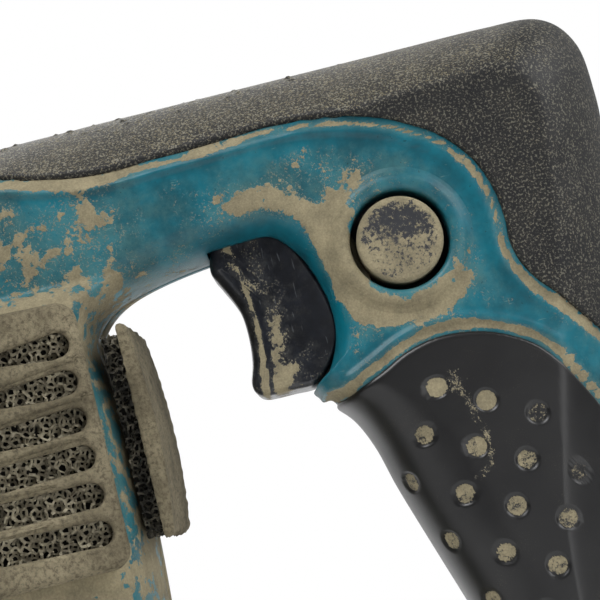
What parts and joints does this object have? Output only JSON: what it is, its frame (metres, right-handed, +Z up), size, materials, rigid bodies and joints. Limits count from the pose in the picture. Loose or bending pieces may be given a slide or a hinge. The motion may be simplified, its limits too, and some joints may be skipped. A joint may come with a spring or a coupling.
{
  "type": "electric hand vacuum pump",
  "caption": "Handheld electric vacuum pump: closed trigger handle, motor housing with foam-filtered vents, finned rotary vane pump head, hose spigot and gauge, on a bolt-down stand.",
  "frame": {"origin": "centre of the stand's four bolt holes, on the underside of its plate", "axes": "+X from the pump head to the rear handle along the motor shaft, +Z up, -Y the side with the lock button"},
  "size_m": [0.3234, 0.1046, 0.2],
  "materials": {
    "teal_plastic": "moulded glass-filled nylon, dusty",
    "bumper_rubber": "textured, dusty",
    "grip_rubber": "satin",
    "steel": "satin",
    "trigger_plastic": "worn gloss",
    "button_plastic": "dust-caked",
    "black_plastic": "satin",
    "cover_plastic": "dust-caked",
    "foam": "open-cell foam",
    "phenolic": "moulded",
    "brass": "machined",
    "carbon": "pressed carbon",
    "bearing_steel": "ground",
    "copper": "lacquered",
    "lamination": "stacked sheet",
    "fan_plastic": "moulded",
    "cast_aluminium": "cast, bead blasted",
    "gasket": "matt",
    "sight_glass": "clear",
    "sintered_bronze": "sintered",
    "dial_enamel": "printed",
    "needle_red": "painted",
    "stand_paint": "powder coat"
  },
  "bodies": {
    "housing": {"left_shell": "teal_plastic", "right_shell": "teal_plastic", "top_bumper": "bumper_rubber", "grip_cover": "grip_rubber", "housing_screws": "steel", "trigger_pin": "steel", "trigger_spring": "steel", "switch_module": "black_plastic", "lock_spring": "steel", "left_filter_cover": "cover_plastic", "right_filter_cover": "cover_plastic", "left_filter_foam": "foam", "right_filter_foam": "foam", "rear_filter_cover": "cover_plastic", "rear_filter_foam": "foam", "cord_gland": "grip_rubber", "brush_bulkhead": "phenolic", "brush_holders": "brass", "carbon_brushes": "carbon", "brush_caps": "black_plastic", "rear_bearing": "bearing_steel", "stator_core": "lamination", "field_coils": "copper", "fan_baffle": "black_plastic", "front_bearing": "bearing_steel", "pump_adapter": "cast_aluminium", "pump_cylinder": "cast_aluminium", "head_gasket": "gasket", "pump_head": "cast_aluminium", "head_bolts": "steel", "front_cover": "cast_aluminium", "sight_glass": "sight_glass", "hose_spigot": "brass", "exhaust_muffler": "sintered_bronze", "gauge_case": "steel", "gauge_dial": "dial_enamel", "gauge_lens": "sight_glass", "stand": "stand_paint", "rubber_feet": "grip_rubber", "stand_screws": "steel"},
    "trigger": {"trigger": "trigger_plastic"},
    "lock_button": {"lock_button": "button_plastic"},
    "rotor_group": {"motor_shaft": "bearing_steel", "commutator": "copper", "armature_core": "lamination", "armature_windings": "copper", "cooling_fan": "fan_plastic", "pump_rotor": "bearing_steel", "pump_vanes": "carbon"},
    "ballast_knob": {"ballast_knob": "black_plastic"},
    "gauge_needle": {"gauge_needle": "needle_red"}
  },
  "joints": [
    {"name": "trigger_pull", "type": "hinge", "parent": "housing", "child": "trigger", "pos_m": [0.164, 0, 0.154], "axis": [0, -1, 0], "range_deg": [0, 8], "stiffness_Nm_per_rad": 1.5, "springref_deg": -5.73, "deforming": ["trigger_spring"]},
    {"name": "lock_press", "type": "slide", "parent": "housing", "child": "lock_button", "axis": [0, 1, 0], "range_m": [0, 0.003], "stiffness_N_per_m": 600, "springref_m": -0.002, "deforming": ["lock_spring"]},
    {"name": "motor_spin", "type": "hinge", "parent": "housing", "child": "rotor_group", "pos_m": [0.048, 0, 0.107], "axis": [1, 0, 0], "continuous": true},
    {"name": "ballast_turn", "type": "hinge", "parent": "housing", "child": "ballast_knob", "pos_m": [-0.0615, -0.047, 0.107], "axis": [0, -1, 0], "range_deg": [0, 180]},
    {"name": "gauge_sweep", "type": "hinge", "parent": "housing", "child": "gauge_needle", "pos_m": [-0.005, -0.004, 0.177], "axis": [0, 1, 0], "range_deg": [0, 270], "stiffness_Nm_per_rad": 0.0005}
  ]
}
